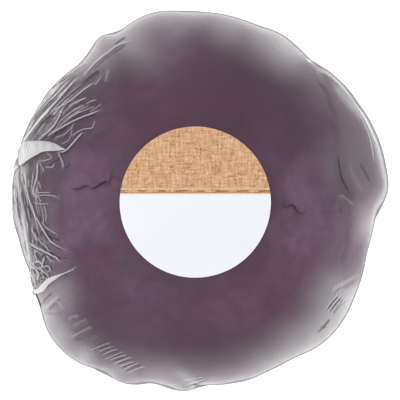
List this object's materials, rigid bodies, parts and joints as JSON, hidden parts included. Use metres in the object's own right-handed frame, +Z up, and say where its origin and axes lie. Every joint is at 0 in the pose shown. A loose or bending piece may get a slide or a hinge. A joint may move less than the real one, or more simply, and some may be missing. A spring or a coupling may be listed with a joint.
{
  "type": "red cabbage head",
  "caption": "Red cabbage head standing on its cut stalk, wrapped in clear film with a round paper label on the crown.",
  "frame": {"origin": "centre of the stalk's flat cut face, on the surface that the head stands on", "axes": "+Z up through the crown and the label; +Y towards the straight top edge of the label's woven-look band; +X to the right of it, seen from above"},
  "size_m": [0.1576, 0.1596, 0.1378],
  "materials": {
    "leaf": "waxy red cabbage leaf, dark purple",
    "inner_leaf": "tightly packed purple leaf",
    "stalk": "cream cut stalk",
    "film": "clear shrink film",
    "label": "satin white paper with a woven-look brown band"
  },
  "bodies": {
    "root": {"film": "film", "inner_head": "inner_leaf", "label": "label", "stalk": "stalk", "wrapper_leaf_1": "leaf", "wrapper_leaf_2": "leaf", "wrapper_leaf_3": "leaf", "wrapper_leaf_4": "leaf", "wrapper_leaf_5": "leaf", "wrapper_leaf_6": "leaf"}
  },
  "joints": []
}
